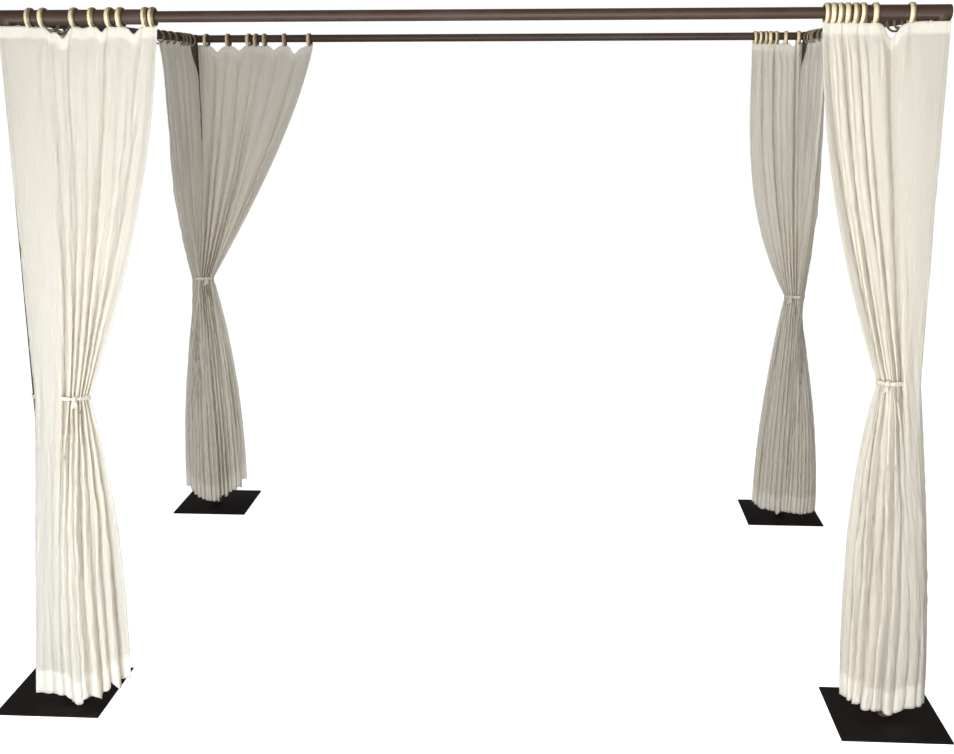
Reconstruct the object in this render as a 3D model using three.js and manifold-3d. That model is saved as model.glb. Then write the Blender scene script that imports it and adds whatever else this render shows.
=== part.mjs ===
import * as THREE from "three";
import Module from "manifold-3d";
import { mergeVertices } from "three/addons/utils/BufferGeometryUtils.js";

const wasm = await Module();
wasm.setup();

// Driving dimensions in millimetres. The floor is z = 0 and the front faces -Y.
const frameWidth = 3000; // post axis to post axis, left to right
const frameDepth = 2100; // post axis to post axis, front to back
const poleHeight = 2420; // floor to the axes of the poles
const fit = 0.3; // running gap wherever pieces meet

const plate = { side: 380, thick: 6, pinRadius: 20.7, pinHeight: 150 };
const post = { radius: 24, bore: 21, topDrop: 60 };
const pole = { radius: 18, bore: 15 };
const corner = { stubLength: 60, spigotRadius: 14.7, spigotLength: 70, pinLength: 90, capRise: 20 };
const root = 5; // how deep a joined piece of a welded fitting reaches into the next
const sleeve = { radius: 24, bore: 18.3, socket: 100 };
const ring = { inner: 26, outer: 33, width: 11, sides: 8, seat: 6 };
const heading = { height: 38, thick: 6, wave: 15, flapOut: 33, flapEnd: 24 };
const tie = { height: 24, thick: 3, margin: 4 };
const cloth = { columns: 12, hemLift: 10, valley: 0.5, rowShares: [1, 0.62, 0.3, 0.1, 0.02] };
const roundSides = 20;

// Rings along each pole, measured inward from the post axis
const frontLeftRings = [79, 124, 223, 283, 341, 377, 462, 485];
const frontRightRings = [93, 197, 238, 261, 284, 307, 330, 350];
const backLeftRings = [70, 179, 283, 318, 361, 460, 584];
const backRightRings = [45, 104, 151, 176, 200, 224, 248];
const sideRings = [62, 128, 194, 243, 354, 453, 549];

// One entry a corner. Each curtain is a strip in plan from the post (u = 0) inward
// along its pole, with v pointing out of the frame. "edge" is the strip near the post and
// "body" the rest, each as [v of the middle, thickness], and the two blend over "blend".
const corners = [
  {
    name: "front_left", sx: -1, sy: -1, tieHeight: 1130, sleeveLength: 500,
    across: {
      name: "front", rings: frontLeftRings, flap: 1, bulge: 0.6, flare: 0.5, blend: [30, 80],
      top: { u: [-25, 500], edge: [33, 10], body: [0, 58] },
      waist: { u: [-30, 160], edge: [35, 14], body: [35, 60] },
      hem: { u: [-90, 250], edge: [54, 50], body: [72, 120] },
    },
    along: {
      name: "side", rings: sideRings, flap: 0, bulge: 0.6, flare: 0.5, blend: [40, 90],
      top: { u: [30, 580], edge: [0, 12], body: [0, 58] },
      waist: { u: [30, 104], edge: [0, 56], body: [0, 60] },
      hem: { u: [30, 165], edge: [-50, 160], body: [-60, 200] },
    },
  },
  {
    name: "front_right", sx: 1, sy: -1, tieHeight: 1230, sleeveLength: 365,
    across: {
      name: "front", rings: frontRightRings, flap: 1, bulge: 0.6, flare: 0.35, blend: [30, 80],
      top: { u: [-15, 365], edge: [33, 10], body: [0, 62] },
      waist: { u: [-18, 120], edge: [35, 14], body: [38, 62] },
      hem: { u: [-140, 168], edge: [50, 44], body: [58, 88] },
    },
    along: {
      name: "side", rings: sideRings, flap: 0, bulge: 0.6, flare: 0.5, blend: [40, 90],
      top: { u: [30, 580], edge: [0, 12], body: [0, 58] },
      waist: { u: [30, 104], edge: [0, 56], body: [0, 60] },
      hem: { u: [30, 180], edge: [-20, 180], body: [-20, 220] },
    },
  },
  {
    name: "back_left", sx: -1, sy: 1, tieHeight: 1220, sleeveLength: 0,
    across: {
      name: "back", rings: backLeftRings, flap: -1, bulge: 0.85, flare: 0.65, blend: [30, 80],
      top: { u: [7, 604], edge: [-33, 10], body: [0, 58] },
      waist: { u: [3, 50], edge: [-61, 66], body: [-61, 66] },
      hem: { u: [3, 168], edge: [-78, 100], body: [-78, 100] },
    },
    along: {
      name: "side", rings: sideRings, flap: 0, bulge: 0.6, flare: 0.6, blend: [100, 170],
      top: { u: [30, 580], edge: [8, 10], body: [0, 58] },
      waist: { u: [28, 95], edge: [27, 50], body: [27, 50] },
      hem: { u: [28, 150], edge: [82, 158], body: [82, 158] },
    },
  },
  {
    name: "back_right", sx: 1, sy: 1, tieHeight: 1160, sleeveLength: 0,
    across: {
      name: "back", rings: backRightRings, flap: -1, bulge: 0.35, flare: 0.55, blend: [30, 80],
      top: { u: [7, 266], edge: [-33, 10], body: [0, 62] },
      waist: { u: [3, 46], edge: [-61, 66], body: [-61, 66] },
      hem: { u: [3, 150], edge: [-84, 112], body: [-84, 112] },
    },
    along: {
      name: "side", rings: sideRings, flap: 0, bulge: 0.4, flare: 0.5, blend: [100, 170],
      top: { u: [30, 560], edge: [8, 10], body: [0, 58] },
      waist: { u: [28, 95], edge: [23, 42], body: [23, 42] },
      hem: { u: [28, 175], edge: [94, 182], body: [94, 182] },
    },
  },
];

const steelMaterial = new THREE.MeshStandardMaterial({ color: 0x2e1f1b, roughness: 0.45, metalness: 0.6 });
const plateMaterial = new THREE.MeshStandardMaterial({ color: 0x1f1917, roughness: 0.5, metalness: 0.6 });
const clothMaterial = new THREE.MeshStandardMaterial({ color: 0xe6e0d2, roughness: 0.9, metalness: 0 });
const ringMaterial = new THREE.MeshStandardMaterial({ color: 0xc9b27c, roughness: 0.6, metalness: 0 });
const tieMaterial = new THREE.MeshStandardMaterial({ color: 0xd9d2c0, roughness: 0.9, metalness: 0 });

const gazebo = new THREE.Group();

function addPiece(group, name, geometry, material) {
  const mesh = new THREE.Mesh(geometry, material);
  mesh.name = name;
  group.add(mesh);
}

// Closed meshes, with the faces turned out whichever way round they were made

function signedVolume(positions, index) {
  const a = new THREE.Vector3();
  const b = new THREE.Vector3();
  const c = new THREE.Vector3();
  let total = 0;
  for (let i = 0; i < index.length; i += 3) {
    a.fromArray(positions, index[i] * 3);
    b.fromArray(positions, index[i + 1] * 3);
    c.fromArray(positions, index[i + 2] * 3);
    total += a.dot(b.cross(c)) / 6;
  }
  return total;
}

function closedGeometry(positions, index) {
  const facesOut = signedVolume(positions, index) > 0;
  const turned = [];
  for (let i = 0; i < index.length; i += 3) {
    const [a, b, c] = index.slice(i, i + 3);
    turned.push(a, ...(facesOut ? [b, c] : [c, b]));
  }
  const geometry = new THREE.BufferGeometry();
  geometry.setAttribute("position", new THREE.Float32BufferAttribute(positions, 3));
  geometry.setIndex(turned);
  return geometry;
}

function welded(geometry) {
  const bare = geometry.clone();
  bare.deleteAttribute("normal");
  bare.deleteAttribute("uv");
  const merged = mergeVertices(bare, 1e-3);
  const vertexIds = Array.from(merged.index.array);
  const kept = [];
  for (let i = 0; i < vertexIds.length; i += 3) {
    const [a, b, c] = vertexIds.slice(i, i + 3);
    if (a !== b && b !== c && c !== a) kept.push(a, b, c);
  }
  return closedGeometry(Array.from(merged.attributes.position.array), kept);
}

function toSolid(geometry) {
  const clean = welded(geometry);
  return new wasm.Manifold(new wasm.Mesh({
    numProp: 3,
    vertProperties: new Float32Array(clean.attributes.position.array),
    triVerts: new Uint32Array(clean.index.array),
  }));
}

function fromSolid(solid) {
  const mesh = solid.getMesh();
  return closedGeometry(Array.from(mesh.vertProperties), Array.from(mesh.triVerts));
}

// Round stock. A bar or tube runs from "from" to "to" along an axis.

const axisTurns = {
  x: new THREE.Matrix4().makeRotationZ(-Math.PI / 2),
  y: new THREE.Matrix4(),
  z: new THREE.Matrix4().makeRotationX(Math.PI / 2),
};

function placedAlong(geometry, axis, middle) {
  const shift = { x: 0, y: 0, z: 0, [axis]: middle };
  return geometry.applyMatrix4(axisTurns[axis]).translate(shift.x, shift.y, shift.z);
}

function bar(axis, radius, from, to) {
  const geometry = new THREE.CylinderGeometry(radius, radius, to - from, roundSides);
  return placedAlong(geometry, axis, (from + to) / 2);
}

function tube(axis, radius, bore, from, to, sides = roundSides) {
  const half = (to - from) / 2;
  const profile = [[bore, -half], [radius, -half], [radius, half], [bore, half], [bore, -half]];
  const geometry = new THREE.LatheGeometry(profile.map(([r, h]) => new THREE.Vector2(r, h)), sides);
  return placedAlong(geometry, axis, (from + to) / 2);
}

// The frame: weighted plates with a pin, tube posts, corner fittings and poles

function basePlate() {
  const slab = new THREE.BoxGeometry(plate.side, plate.side, plate.thick).translate(0, 0, plate.thick / 2);
  const pin = bar("z", plate.pinRadius, plate.thick / 2, plate.thick + plate.pinHeight);
  return fromSolid(toSolid(slab).add(toSolid(pin)));
}

function postTube() {
  return welded(tube("z", post.radius, post.bore, plate.thick + fit, poleHeight - post.topDrop - fit));
}

// A corner fitting: a cap on the post with a pin down into it, a stub and spigot for the
// side pole, and across the frame either a stub and spigot or the long front sleeve.
function cornerFitting({ sx, sy, sleeveLength }) {
  const reach = (direction, from, to) => (direction < 0 ? [from, to] : [-to, -from]);
  const top = sleeveLength ? 0 : corner.capRise;
  const capBottom = poleHeight - post.topDrop;
  let solid = toSolid(bar("z", post.radius, capBottom, poleHeight + top));
  solid = solid.add(toSolid(bar("z", plate.pinRadius, capBottom - corner.pinLength, capBottom + root)));
  const addArm = (axis, direction, radius, from, to) => {
    const arm = bar(axis, radius, ...reach(direction, from, to)).translate(0, 0, poleHeight);
    solid = solid.add(toSolid(arm));
  };
  const spigotEnd = corner.stubLength + corner.spigotLength;
  addArm("y", sy, pole.radius, 0, corner.stubLength);
  addArm("y", sy, corner.spigotRadius, corner.stubLength - root, spigotEnd);
  if (!sleeveLength) {
    addArm("x", sx, pole.radius, 0, corner.stubLength);
    addArm("x", sx, corner.spigotRadius, corner.stubLength - root, spigotEnd);
    return fromSolid(solid);
  }
  addArm("x", sx, sleeve.radius, -post.radius, sleeveLength);
  const socket = bar("x", sleeve.bore, ...reach(sx, sleeveLength - sleeve.socket, sleeveLength + root));
  return fromSolid(solid.subtract(toSolid(socket.translate(0, 0, poleHeight))));
}

// An upright fluted or flat solid lofted through plan outlines of one point count

function loft(levels) {
  const count = levels[0].points.length;
  const positions = levels.flatMap(({ z, points }) => points.flatMap((p) => [p.x, p.y, z]));
  const index = [];
  for (let level = 0; level + 1 < levels.length; level += 1) {
    for (let i = 0; i < count; i += 1) {
      const a = level * count + i;
      const b = level * count + ((i + 1) % count);
      index.push(a, b, b + count, a, b + count, a + count);
    }
  }
  const [lowest, highest] = [levels[0], levels.at(-1)];
  const lastRow = (levels.length - 1) * count;
  const anticlockwise = !THREE.ShapeUtils.isClockWise(lowest.points);
  for (const [a, b, c] of THREE.ShapeUtils.triangulateShape(lowest.points, [])) {
    index.push(...(anticlockwise ? [c, b, a] : [a, b, c]));
  }
  for (const [a, b, c] of THREE.ShapeUtils.triangulateShape(highest.points, [])) {
    index.push(...(anticlockwise ? [a, b, c] : [c, b, a]).map((i) => i + lastRow));
  }
  return closedGeometry(positions, index);
}

// Plan position from the strip's own axes: u inward along the pole, v out of the frame
function planPoint(place, direction, u, v) {
  return direction === "across"
    ? new THREE.Vector2(-place.sx * u, place.sy * v)
    : new THREE.Vector2(place.sx * v, -place.sy * u);
}

const mix = (a, b, share) => a + (b - a) * share;
const mixAll = (from, to, share) => from.map((value, i) => mix(value, to[i], share));

// The strip's section at a height: the tie's straight waist, a bulge up to the heading and
// a flare down to the hem
function sectionAt(curtain, tieHeight, top, z) {
  const flat = tie.height / 2 + tie.margin;
  const away = Math.max(0, Math.abs(z - tieHeight) - flat);
  const above = z > tieHeight;
  const span = (above ? top - tieHeight : tieHeight - cloth.hemLift - plate.thick) - flat;
  const share = Math.pow(away / span, above ? curtain.bulge : curtain.flare);
  const end = above ? curtain.top : curtain.hem;
  return {
    u: mixAll(curtain.waist.u, end.u, share),
    edge: mixAll(curtain.waist.edge, end.edge, share),
    body: mixAll(curtain.waist.body, end.body, share),
  };
}

function stripOutline(place, direction, section, blend) {
  const front = [];
  const back = [];
  for (let i = 0; i <= cloth.columns; i += 1) {
    const u = mix(section.u[0], section.u[1], i / cloth.columns);
    const share = THREE.MathUtils.smoothstep(u, blend[0], blend[1]);
    const [v, thick] = mixAll(section.edge, section.body, share);
    const crest = i % 2 === 0;
    front.push(planPoint(place, direction, u, v + (thick / 2) * (crest ? 1 : cloth.valley)));
    back.push(planPoint(place, direction, u, v - (thick / 2) * (crest ? cloth.valley : 1)));
  }
  return [...front, ...back.reverse()];
}

function curtainSolid(place, direction, curtain, top) {
  const bottom = plate.thick + cloth.hemLift;
  const flat = tie.height / 2 + tie.margin;
  const { tieHeight } = place;
  const below = cloth.rowShares.map((share) => mix(tieHeight - flat, bottom, share));
  const above = cloth.rowShares.map((share) => mix(tieHeight + flat, top, share)).reverse();
  return loft([...below, tieHeight - flat, tieHeight + flat, ...above].map((z) => ({
    z,
    points: stripOutline(place, direction, sectionAt(curtain, tieHeight, top, z), curtain.blend),
  })));
}

// The sewn heading: a waved band that passes through the foot of every ring
function headingLine(place, curtain) {
  const [start, end] = curtain.top.u;
  const line = [];
  if (curtain.flap) {
    line.push([start, heading.flapOut * curtain.flap], [heading.flapEnd, heading.flapOut * curtain.flap]);
  } else {
    line.push([start, curtain.top.edge[0]]);
  }
  curtain.rings.forEach((u, i) => {
    line.push([u, 0]);
    const next = curtain.rings[i + 1] ?? end;
    if (i + 1 < curtain.rings.length) {
      const swing = Math.min(heading.wave, (next - u) * 0.4);
      line.push([(u + next) / 2, i % 2 === 0 ? swing : -swing]);
    }
  });
  line.push([end, 0]);
  return line;
}

function ribbonOutline(line, thick) {
  const points = line.map(([u, v]) => new THREE.Vector2(u, v));
  const left = [];
  const right = [];
  points.forEach((point, i) => {
    const before = points[Math.max(0, i - 1)];
    const after = points[Math.min(points.length - 1, i + 1)];
    const into = point.clone().sub(before).normalize();
    const out = after.clone().sub(point).normalize();
    const along = into.add(out).normalize();
    const normal = new THREE.Vector2(-along.y, along.x).multiplyScalar(thick / 2);
    left.push(point.clone().add(normal));
    right.push(point.clone().sub(normal));
  });
  return [...left, ...right.reverse()];
}

function headingSolid(place, direction, curtain, poleRadius) {
  const flatShare = Math.cos(Math.PI / ring.sides);
  const [outer, inner] = [ring.outer / flatShare, ring.inner / flatShare];
  const drop = ring.inner - poleRadius - fit;
  const ringAxis = poleHeight - drop;
  const top = ringAxis - ring.outer + ring.seat;
  const band = ribbonOutline(headingLine(place, curtain), heading.thick)
    .map((p) => planPoint(place, direction, p.x, p.y));
  let solid = toSolid(loft([{ z: top - heading.height, points: band }, { z: top, points: band }]));
  const axis = direction === "across" ? "x" : "y";
  for (const u of curtain.rings) {
    const hoop = tube(axis, outer, inner, -ring.width / 2, ring.width / 2, ring.sides);
    if (axis === "x") hoop.rotateX(Math.PI / ring.sides);
    else hoop.rotateY(Math.PI / ring.sides);
    const centre = planPoint(place, direction, u, 0);
    solid = solid.add(toSolid(hoop.translate(centre.x, centre.y, ringAxis)));
  }
  return { geometry: fromSolid(solid), bottom: top - heading.height };
}

// The tie: a band drawn round both curtains and the post at the waist

function convexHull(points) {
  const sorted = [...points].sort((a, b) => a.x - b.x || a.y - b.y);
  const halfHull = (list) => {
    const kept = [];
    for (const p of list) {
      while (kept.length > 1) {
        const [q, r] = [kept.at(-1), kept.at(-2)];
        if ((q.x - r.x) * (p.y - r.y) - (q.y - r.y) * (p.x - r.x) > 1e-6) break;
        kept.pop();
      }
      kept.push(p);
    }
    return kept.slice(0, -1);
  };
  return [...halfHull(sorted), ...halfHull(sorted.reverse())];
}

function offsetHull(hull, distance) {
  return hull.map((point, i) => {
    const before = hull[(i + hull.length - 1) % hull.length];
    const after = hull[(i + 1) % hull.length];
    const into = point.clone().sub(before).normalize();
    const out = after.clone().sub(point).normalize();
    const normal = new THREE.Vector2(into.y + out.y, -into.x - out.x).normalize();
    const stretch = normal.x * into.y - normal.y * into.x;
    return point.clone().addScaledVector(normal, distance / stretch);
  });
}

function tieBand(place) {
  const waistPoints = ["across", "along"].flatMap((direction) => {
    const curtain = place[direction];
    return stripOutline(place, direction, curtain.waist, curtain.blend);
  });
  const postPoints = Array.from({ length: roundSides }, (_, i) => {
    const angle = (i / roundSides) * 2 * Math.PI;
    return new THREE.Vector2(Math.cos(angle), Math.sin(angle)).multiplyScalar(post.radius);
  });
  const hull = convexHull([...waistPoints, ...postPoints]);
  const shape = new THREE.Shape(offsetHull(hull, fit + tie.thick));
  shape.holes.push(new THREE.Path(offsetHull(hull, fit)));
  const band = new THREE.ExtrudeGeometry(shape, { depth: tie.height, bevelEnabled: false });
  return welded(band.translate(0, 0, place.tieHeight - tie.height / 2));
}

// Everything that stands at one corner of the frame
function buildCorner(place) {
  const group = new THREE.Group();
  group.position.set((place.sx * frameWidth) / 2, (place.sy * frameDepth) / 2, 0);
  addPiece(group, `plate_${place.name}`, basePlate(), plateMaterial);
  addPiece(group, `post_${place.name}`, postTube(), steelMaterial);
  addPiece(group, `corner_${place.name}`, cornerFitting(place), steelMaterial);
  for (const direction of ["across", "along"]) {
    const curtain = place[direction];
    const onSleeve = direction === "across" && place.sleeveLength > 0;
    const carrier = onSleeve ? sleeve.radius : pole.radius;
    const { geometry, bottom } = headingSolid(place, direction, curtain, carrier);
    addPiece(group, `rings_${place.name}_${curtain.name}`, geometry, ringMaterial);
    const body = curtainSolid(place, direction, curtain, bottom - fit);
    addPiece(group, `curtain_${place.name}_${curtain.name}`, body, clothMaterial);
  }
  addPiece(group, `tie_${place.name}`, tieBand(place), tieMaterial);
  gazebo.add(group);
}

function addPole(name, axis, centre, from, to) {
  const geometry = welded(tube(axis, pole.radius, pole.bore, from, to));
  const mesh = new THREE.Mesh(geometry, steelMaterial);
  mesh.name = name;
  mesh.position.set(centre[0], centre[1], poleHeight);
  gazebo.add(mesh);
}

corners.forEach(buildCorner);
const stubEnd = corner.stubLength + fit;
const [leftSleeve, rightSleeve] = [corners[0].sleeveLength, corners[1].sleeveLength];
const slip = sleeve.socket - fit;
addPole("pole_front", "x", [0, -frameDepth / 2], -frameWidth / 2 + leftSleeve - slip,
  frameWidth / 2 - rightSleeve + slip);
addPole("pole_back", "x", [0, frameDepth / 2], -frameWidth / 2 + stubEnd, frameWidth / 2 - stubEnd);
for (const [name, side] of [["pole_left", -1], ["pole_right", 1]]) {
  addPole(name, "y", [(side * frameWidth) / 2, 0], -frameDepth / 2 + stubEnd, frameDepth / 2 - stubEnd);
}

export default gazebo;
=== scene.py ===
import math
import bmesh
import bpy
import numpy as np
from mathutils import Matrix, Vector


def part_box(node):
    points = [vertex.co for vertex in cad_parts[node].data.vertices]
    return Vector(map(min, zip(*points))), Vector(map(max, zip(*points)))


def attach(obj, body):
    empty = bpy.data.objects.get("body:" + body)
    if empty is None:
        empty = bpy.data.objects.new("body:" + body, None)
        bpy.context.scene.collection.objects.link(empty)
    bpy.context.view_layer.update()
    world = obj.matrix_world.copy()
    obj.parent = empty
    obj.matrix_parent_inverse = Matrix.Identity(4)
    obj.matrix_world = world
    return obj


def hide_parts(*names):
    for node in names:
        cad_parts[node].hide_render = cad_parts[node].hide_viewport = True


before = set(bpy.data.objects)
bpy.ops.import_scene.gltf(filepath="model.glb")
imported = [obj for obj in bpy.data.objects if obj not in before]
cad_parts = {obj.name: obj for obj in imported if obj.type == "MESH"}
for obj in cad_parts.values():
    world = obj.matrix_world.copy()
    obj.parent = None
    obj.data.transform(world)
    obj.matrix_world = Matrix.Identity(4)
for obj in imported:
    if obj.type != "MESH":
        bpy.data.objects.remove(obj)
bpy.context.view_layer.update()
print("frame loaded:", len(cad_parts), "nodes")


def meshFrom(name, bm):
    mesh = bpy.data.meshes.new(name)
    bm.to_mesh(mesh)
    bm.free()
    return mesh


def linked(name, data):
    made = bpy.data.objects.new(name, data)
    bpy.context.scene.collection.objects.link(made)
    return made


# The camera stands where the photograph was taken from

cameraSettings = {
    "place": (0.301, -5.080, 2.216),
    "pitch": -13.716,
    "yaw": 3.687,
    "roll": 0.147,
    "lens": 45.81,
}


def addCamera(settings):
    data = bpy.data.cameras.new("camera")
    data.lens = settings["lens"]
    data.sensor_width = 36
    data.clip_end = 200
    camera = linked("camera", data)
    turn = Matrix.Rotation(math.radians(settings["yaw"]), 4, "Z")
    turn = turn @ Matrix.Rotation(math.radians(90 + settings["pitch"]), 4, "X")
    turn = turn @ Matrix.Rotation(math.radians(-settings["roll"]), 4, "Z")
    camera.matrix_world = Matrix.Translation(settings["place"]) @ turn
    bpy.context.scene.camera = camera


addCamera(cameraSettings)


# Shader maths: a wrapped socket that adds its own nodes

class Shade:
    def __init__(self, tree, socket=None):
        self.tree = tree
        self.socket = socket

    def node(self, kind, settings=None, inputs=None, output=0):
        made = self.tree.nodes.new("ShaderNode" + kind)
        for key, value in (settings or {}).items():
            if key == "stops":
                setStops(made.color_ramp, value)
            else:
                setattr(made, key, value)
        for key, value in (inputs or {}).items():
            if isinstance(value, Shade):
                self.tree.links.new(value.socket, made.inputs[key])
            else:
                made.inputs[key].default_value = value
        return Shade(self.tree, made.outputs[output]) if made.outputs else None

    def maths(self, operation, first, second=0.0):
        return self.node("Math", {"operation": operation}, {0: first, 1: second})

    def __add__(self, other):
        return self.maths("ADD", self, other)

    __radd__ = __add__

    def __sub__(self, other):
        return self.maths("SUBTRACT", self, other)

    def __rsub__(self, other):
        return self.maths("SUBTRACT", other, self)

    def __mul__(self, other):
        return self.maths("MULTIPLY", self, other)

    __rmul__ = __mul__

    def under(self, limit):
        return self.maths("LESS_THAN", self, limit)

    def offFrom(self, value):
        return self.maths("ABSOLUTE", self - value)

    def fraction(self):
        return self.maths("FRACT", self)

    def larger(self, other):
        return self.maths("MAXIMUM", self, other)

    def ramp(self, *stops):
        return self.node("ValToRGB", {"stops": stops}, {0: self})

    def tint(self, first, second):
        return self.node("Mix", {"data_type": "RGBA"}, {0: self, 6: first, 7: second}, 2)


def setStops(ramp, stops):
    ramp.elements.remove(ramp.elements[1])
    for i, (position, tone) in enumerate(stops):
        stop = ramp.elements[0] if i == 0 else ramp.elements.new(position)
        stop.position = position
        stop.color = (tone, tone, tone, 1)


def newMaterial(name):
    material = bpy.data.materials.new(name)
    material.use_nodes = True
    material.node_tree.nodes.clear()
    return material, Shade(material.node_tree)


def rgb(colour, scale=1.0):
    return tuple(channel * scale for channel in colour) + (1,)


def objectPoint(shade, scale):
    place = shade.node("TexCoord", output=3)
    return shade.node("Mapping", {}, {"Vector": place, "Scale": scale})


def clothPoint(shade, scale):
    place = shade.node("TexCoord", output=2)
    return shade.node("Mapping", {}, {"Vector": place, "Scale": scale})


def noise(shade, vector, scale, detail=3.0, rough=0.5):
    inputs = {"Vector": vector, "Scale": scale, "Detail": detail, "Roughness": rough}
    return shade.node("TexNoise", {}, inputs)


def bump(shade, height, strength, distance, under=None):
    inputs = {"Height": height, "Strength": strength, "Distance": distance}
    if under:
        inputs["Normal"] = under
    return shade.node("Bump", {}, inputs)


# Cloth: ivory cotton voile with slubs, soft creases, and sewn hems that let less light through

clothSettings = {
    "width": 0.64,
    "length": 2.36,
    "colour": (0.89, 0.86, 0.79),
    "yarn": 0.0011,
    "headBand": 0.038,
    "hemBand": 0.09,
    "sideBand": 0.018,
    "stitch": 0.0035,
    "stitched": 0.7,
    "thread": 0.0007,
    "threadInset": 0.003,
    "through": 0.73,
    "hemShade": 0.18,
}


def stitches(settings, distance, band, along):
    line = distance.offFrom(band - settings["threadInset"]).under(settings["thread"])
    return line * (along * (1 / settings["stitch"])).fraction().under(settings["stitched"])


def clothMaterial(name, settings, hems=True):
    material, shade = newMaterial(name)
    width, length = settings["width"], settings["length"]
    flat = clothPoint(shade, (width, length, 1))
    across = shade.node("SeparateXYZ", {}, {0: flat})
    down = shade.node("SeparateXYZ", {}, {0: flat}, 1)
    waveScale = math.pi / 10 / settings["yarn"]
    warp = shade.node("TexWave", {"bands_direction": "X"}, {"Vector": flat, "Scale": waveScale})
    weft = shade.node("TexWave", {"bands_direction": "Y"}, {"Vector": flat, "Scale": waveScale})
    weave = (warp + weft) * 0.5
    slubDown = noise(shade, clothPoint(shade, (width * 420, length * 11, 1)), 1.0)
    slubAcross = noise(shade, clothPoint(shade, (width * 13, length * 400, 1)), 1.0)
    slub = slubDown * 0.5 + slubAcross * 0.5
    cloud = noise(shade, clothPoint(shade, (width * 3, length * 2, 1)), 1.0, 4.0)
    crease = noise(shade, clothPoint(shade, (width * 34, length * 2.6, 1)), 1.0, 4.0, 0.6)
    crumple = noise(shade, clothPoint(shade, (width * 16, length * 9, 1)), 1.0, 3.0, 0.55)
    tone = slub.ramp((0.3, 0.0), (0.7, 1.0)) * 0.5 + cloud.ramp((0.3, 0.0), (0.7, 1.0)) * 0.5
    colour = tone.tint(rgb(settings["colour"], 0.95), rgb(settings["colour"], 1.02))
    height = weave * 0.25 + slub * 0.35
    folds = crease * 0.7 + crumple * 0.3
    through = settings["through"]
    if hems:
        fromTop = length - down
        fromSide = 0.5 * width - across.offFrom(0.5 * width)
        double = fromTop.under(settings["headBand"]).larger(down.under(settings["hemBand"]))
        seam = stitches(settings, fromTop, settings["headBand"], across)
        seam = seam.larger(stitches(settings, down, settings["hemBand"], across))
        seam = seam.larger(stitches(settings, fromSide, settings["sideBand"], down))
        colour = (double * 0.2).tint(colour, rgb(settings["colour"], 1.04))
        colour = (seam * 0.5).tint(colour, rgb(settings["colour"], 0.6))
        height = height - seam * 1.5
        through = through - double * (through * settings["hemShade"])
    normal = bump(shade, height, 0.35, 0.0005)
    normal = bump(shade, folds, 0.45, 0.006, normal)
    body = shade.node("BsdfPrincipled", {}, {
        "Base Color": colour,
        "Roughness": slub * 0.1 + 0.8,
        "Sheen Weight": 0.25,
        "Sheen Roughness": 0.5,
        "Specular IOR Level": 0.2,
        "Normal": normal,
    })
    glow = shade.node("BsdfTranslucent", {}, {"Color": colour, "Normal": normal})
    mixed = shade.node("MixShader", {}, {0: through, 1: body, 2: glow})
    shade.node("OutputMaterial", {}, {"Surface": mixed})
    return material


# Painted steel: satin paint with a fine orange peel, dust and scuffs

steelFinishes = {
    "frameSteel": {"colour": (0.038, 0.020, 0.011), "dust": 0.20, "rough": 0.55, "shine": 0.28},
    "plateSteel": {"colour": (0.006, 0.0045, 0.0035), "dust": 0.06, "rough": 0.60, "shine": 0.08},
    "dustColour": (0.16, 0.14, 0.12),
}


def steelMaterial(name, settings):
    finish, shine = settings[name], settings[name]["shine"]
    material, shade = newMaterial(name)
    near = objectPoint(shade, (1, 1, 1))
    peel = noise(shade, near, 420, 2.0)
    patches = noise(shade, near, 9, 5.0, 0.6)
    scuffs = noise(shade, objectPoint(shade, (30, 30, 240)), 1.0, 4.0, 0.7)
    dusty = patches.ramp((0.45, 0.0), (0.75, 1.0)) * 0.6 + scuffs.ramp((0.58, 0.0), (0.72, 1.0)) * 0.4
    coat = (dusty * finish["dust"]).tint(rgb(finish["colour"]), rgb(settings["dustColour"]))
    normal = bump(shade, peel, 0.12, 0.0004)
    paint = shade.node("BsdfPrincipled", {}, {
        "Base Color": coat,
        "Metallic": 0.0,
        "Roughness": dusty * 0.25 + finish["rough"],
        "Specular IOR Level": shine,
        "Coat Weight": shine * 0.2,
        "Coat Roughness": 0.25,
        "Normal": normal,
    })
    shade.node("OutputMaterial", {}, {"Surface": paint})
    return material


# Turned wood: pale lacquered rings, each with a tone of its own. The dark colour serves both as a darker
# wood tone and as painted shade

woodSettings = {
    "pale": ((0.54, 0.44, 0.24), (0.76, 0.68, 0.46)),
    "dark": ((0.075, 0.048, 0.020), (0.16, 0.11, 0.05)),
}


def woodMaterial(name, settings):
    material, shade = newMaterial(name)
    toneAndShade = shade.node("Attribute", {"attribute_name": "tone"}, {}, 2)
    grainLine = noise(shade, objectPoint(shade, (160, 160, 1300)), 1.0, 5.0, 0.6)
    figure = noise(shade, objectPoint(shade, (50, 50, 260)), 1.0, 3.0)
    grain = grainLine.ramp((0.35, 0.0), (0.65, 1.0)) * 0.6 + figure.ramp((0.35, 0.0), (0.65, 1.0)) * 0.4
    pale, dark = (grain.tint(rgb(low), rgb(high)) for low, high in (settings["pale"], settings["dark"]))
    # The tone attribute blends towards the dark colour: a random wood tone per ring, plus painted shade on
    # each ring's shaded side and on the side-pole rings
    colour = toneAndShade.tint(pale, dark)
    normal = bump(shade, grainLine, 0.15, 0.0003)
    wood = shade.node("BsdfPrincipled", {}, {
        "Base Color": colour,
        "Roughness": grain * 0.12 + 0.42,
        "Coat Weight": 0.25,
        "Coat Roughness": 0.3,
        "Normal": normal,
    })
    shade.node("OutputMaterial", {}, {"Surface": wood})
    return material


curtainCloth = clothMaterial("curtainCloth", clothSettings)
tieFinish = {**clothSettings, "colour": (0.68, 0.64, 0.56), "width": 0.6, "length": 0.03, "through": 0.35}
tieCloth = clothMaterial("tieCloth", tieFinish, False)
frameSteel = steelMaterial("frameSteel", steelFinishes)
plateSteel = steelMaterial("plateSteel", steelFinishes)
ringWood = woodMaterial("ringWood", woodSettings)
print("materials made")


# Pieces: each is meshed in place and rides the frame

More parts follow.
